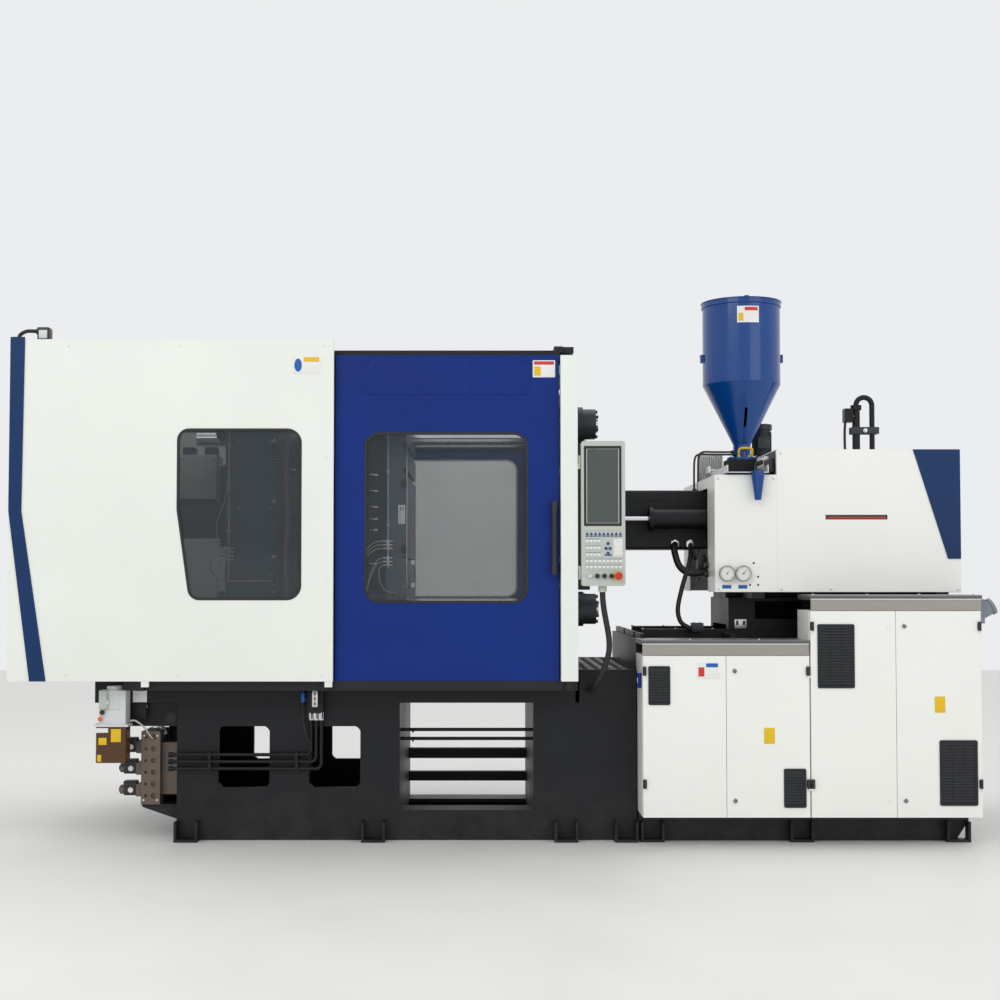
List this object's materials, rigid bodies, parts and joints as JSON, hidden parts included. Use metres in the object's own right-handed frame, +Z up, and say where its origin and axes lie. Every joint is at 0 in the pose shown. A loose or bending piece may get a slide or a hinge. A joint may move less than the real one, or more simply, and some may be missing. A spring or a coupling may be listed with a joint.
{
  "type": "injection moulding machine",
  "caption": "Horizontal injection moulding machine: toggle clamp behind sliding doors, hopper-fed injection unit, control panel and floor cabinets.",
  "frame": {"origin": "on the floor under the bed, below the mould space on the machine's centre line", "axes": "+X from the clamp to the injection end, +Y to the rear, +Z up"},
  "size_m": [4.4808, 1.55, 2.6033],
  "materials": {
    "bed_black": "satin black paint",
    "cast_dark": "machined dark casting",
    "bright_steel": "ground and chromed",
    "link_steel": "machined casting",
    "guard_white": "fine textured white paint",
    "door_blue": "textured blue paint",
    "trim_blue": "dark blue paint",
    "hopper_blue": "gloss blue paint",
    "window_tint": "clear polycarbonate",
    "stainless": "brushed",
    "panel_grey": "light grey-green housing",
    "stop_red": "red",
    "hose_black": "ribbed black",
    "amber": "clear amber plastic",
    "pump_grey": "light grey",
    "handle_black": "black",
    "gauge": "steel case",
    "heater_steel": "heat tinted"
  },
  "bodies": {
    "frame": {"bed_frame": "bed_black", "step_box": "bed_black", "injection_base": "bed_black", "stationary_platen": "cast_dark", "tie_bars": "bright_steel", "tie_bar_nuts": "cast_dark", "guard_frame": "bed_black", "guard_front_panel": "guard_white", "guard_window": "window_tint", "guard_rear_panel": "guard_white", "guard_end_panel": "guard_white", "guard_stripe": "trim_blue", "door_posts": "guard_white", "low_cabinet": "guard_white", "tall_cabinet": "guard_white", "cabinet_tops": "stainless", "power_inlet": "pump_grey", "pump_motor": "bed_black", "lubrication_pump": "pump_grey", "oil_reservoir": "amber", "hydraulic_manifold": "cast_dark", "bed_pipes": "bed_black", "safety_valve": "bed_black", "panel_conduit": "hose_black", "carriage_rods": "bright_steel", "control_panel": "panel_grey"},
    "rear_unit": {"rear_platen": "cast_dark", "clamp_cylinder": "cast_dark", "guide_rods": "bright_steel", "mould_height_nuts": "cast_dark"},
    "crosshead": {"crosshead": "link_steel"},
    "upper_rear_link": {"upper_rear_link": "link_steel"},
    "upper_front_link": {"upper_front_link": "link_steel"},
    "lower_rear_link": {"lower_rear_link": "link_steel"},
    "lower_front_link": {"lower_front_link": "link_steel"},
    "upper_cross_link": {"upper_cross_link": "link_steel"},
    "lower_cross_link": {"lower_cross_link": "link_steel"},
    "moving_unit": {"moving_platen": "cast_dark", "ejector_cylinder": "cast_dark"},
    "front_door": {"front_door": "door_blue", "front_door_window": "window_tint", "front_door_handle": "handle_black"},
    "rear_door": {"rear_door": "door_blue", "rear_door_window": "window_tint"},
    "stop_button": {"emergency_stop": "stop_red"},
    "injection_unit": {"injection_carriage": "bed_black", "carriage_cylinders": "bed_black", "barrel": "heater_steel", "barrel_cover": "bed_black", "injection_cover": "guard_white", "cover_corner_trim": "trim_blue", "pressure_gauges": "gauge", "hopper": "hopper_blue"},
    "screw": {"screw": "bright_steel"},
    "hopper_lid": {"hopper_lid": "hopper_blue"},
    "feed_gate": {"feed_gate": "stainless"},
    "low_left_door": {"low_left_door": "guard_white"},
    "low_right_door": {"low_right_door": "guard_white"},
    "tall_left_door": {"tall_left_door": "guard_white"},
    "tall_right_door": {"tall_right_door": "guard_white"}
  },
  "joints": [
    {"name": "mould_height", "type": "slide", "parent": "frame", "child": "rear_unit", "axis": [1, 0, 0], "range_m": [-0.05, 0.1]},
    {"name": "toggle", "type": "hinge", "parent": "rear_unit", "child": "upper_rear_link", "pos_m": [-0.985, 0, 1.8], "axis": [0, -1, 0], "range_deg": [0, 44]},
    {"name": "upper_elbow", "type": "hinge", "parent": "upper_rear_link", "child": "upper_front_link", "pos_m": [-0.83737, 0, 1.58113], "axis": [0, 1, 0], "range_deg": [0, 88]},
    {"name": "platen_pin", "type": "hinge", "parent": "upper_front_link", "child": "moving_unit", "pos_m": [-0.68975, 0, 1.8], "axis": [0, -1, 0], "range_deg": [0, 44]},
    {"name": "lower_toggle", "type": "hinge", "parent": "rear_unit", "child": "lower_rear_link", "pos_m": [-0.985, 0, 1.2], "axis": [0, 1, 0], "range_deg": [0, 44]},
    {"name": "lower_elbow", "type": "hinge", "parent": "lower_rear_link", "child": "lower_front_link", "pos_m": [-0.83737, 0, 1.41887], "axis": [0, -1, 0], "range_deg": [0, 88]},
    {"name": "upper_cross_pin", "type": "hinge", "parent": "upper_rear_link", "child": "upper_cross_link", "pos_m": [-0.92908, 0, 1.7171], "axis": [0, 1, 0], "range_deg": [0, 88]},
    {"name": "crosshead_pin", "type": "hinge", "parent": "upper_cross_link", "child": "crosshead", "pos_m": [-0.87316, 0, 1.8], "axis": [0, -1, 0], "range_deg": [0, 44]},
    {"name": "lower_cross_pin", "type": "hinge", "parent": "lower_rear_link", "child": "lower_cross_link", "pos_m": [-0.92908, 0, 1.2829], "axis": [0, -1, 0], "range_deg": [0, 88]},
    {"name": "front_door_slide", "type": "slide", "parent": "frame", "child": "front_door", "axis": [-1, 0, 0], "range_m": [0, 0.84]},
    {"name": "rear_door_slide", "type": "slide", "parent": "frame", "child": "rear_door", "axis": [-1, 0, 0], "range_m": [0, 0.84]},
    {"name": "stop_press", "type": "slide", "parent": "frame", "child": "stop_button", "axis": [0, 1, 0], "range_m": [0, 0.006]},
    {"name": "carriage_slide", "type": "slide", "parent": "frame", "child": "injection_unit", "axis": [1, 0, 0], "range_m": [-0.075, 0.04]},
    {"name": "screw_spin", "type": "hinge", "parent": "injection_unit", "child": "screw", "pos_m": [0.9, 0, 1.5], "axis": [1, 0, 0], "continuous": true},
    {"name": "lid_hinge", "type": "hinge", "parent": "injection_unit", "child": "hopper_lid", "pos_m": [1.23, 0.207, 2.589], "axis": [-1, 0, 0], "range_deg": [0, 100]},
    {"name": "feed_gate_slide", "type": "slide", "parent": "injection_unit", "child": "feed_gate", "axis": [1, 0, 0], "range_m": [0, 0.08]},
    {"name": "low_left_hinge", "type": "hinge", "parent": "frame", "child": "low_left_door", "pos_m": [0.648, -0.757, 0.5], "axis": [0, 0, -1], "range_deg": [0, 110]},
    {"name": "low_right_hinge", "type": "hinge", "parent": "frame", "child": "low_right_door", "pos_m": [1.381, -0.757, 0.5], "axis": [0, 0, 1], "range_deg": [0, 90]},
    {"name": "tall_left_hinge", "type": "hinge", "parent": "frame", "child": "tall_left_door", "pos_m": [1.401, -0.757, 0.6], "axis": [0, 0, -1], "range_deg": [0, 90]},
    {"name": "tall_right_hinge", "type": "hinge", "parent": "frame", "child": "tall_right_door", "pos_m": [2.153, -0.757, 0.6], "axis": [0, 0, 1], "range_deg": [0, 110]}
  ],
  "couplings": [
    {"joint": "upper_elbow", "follows": "toggle", "ratio": 2},
    {"joint": "platen_pin", "follows": "toggle", "ratio": 1},
    {"joint": "lower_toggle", "follows": "toggle", "ratio": 1},
    {"joint": "lower_elbow", "follows": "toggle", "ratio": 2},
    {"joint": "upper_cross_pin", "follows": "toggle", "ratio": 2},
    {"joint": "crosshead_pin", "follows": "toggle", "ratio": 1},
    {"joint": "lower_cross_pin", "follows": "toggle", "ratio": 2}
  ]
}
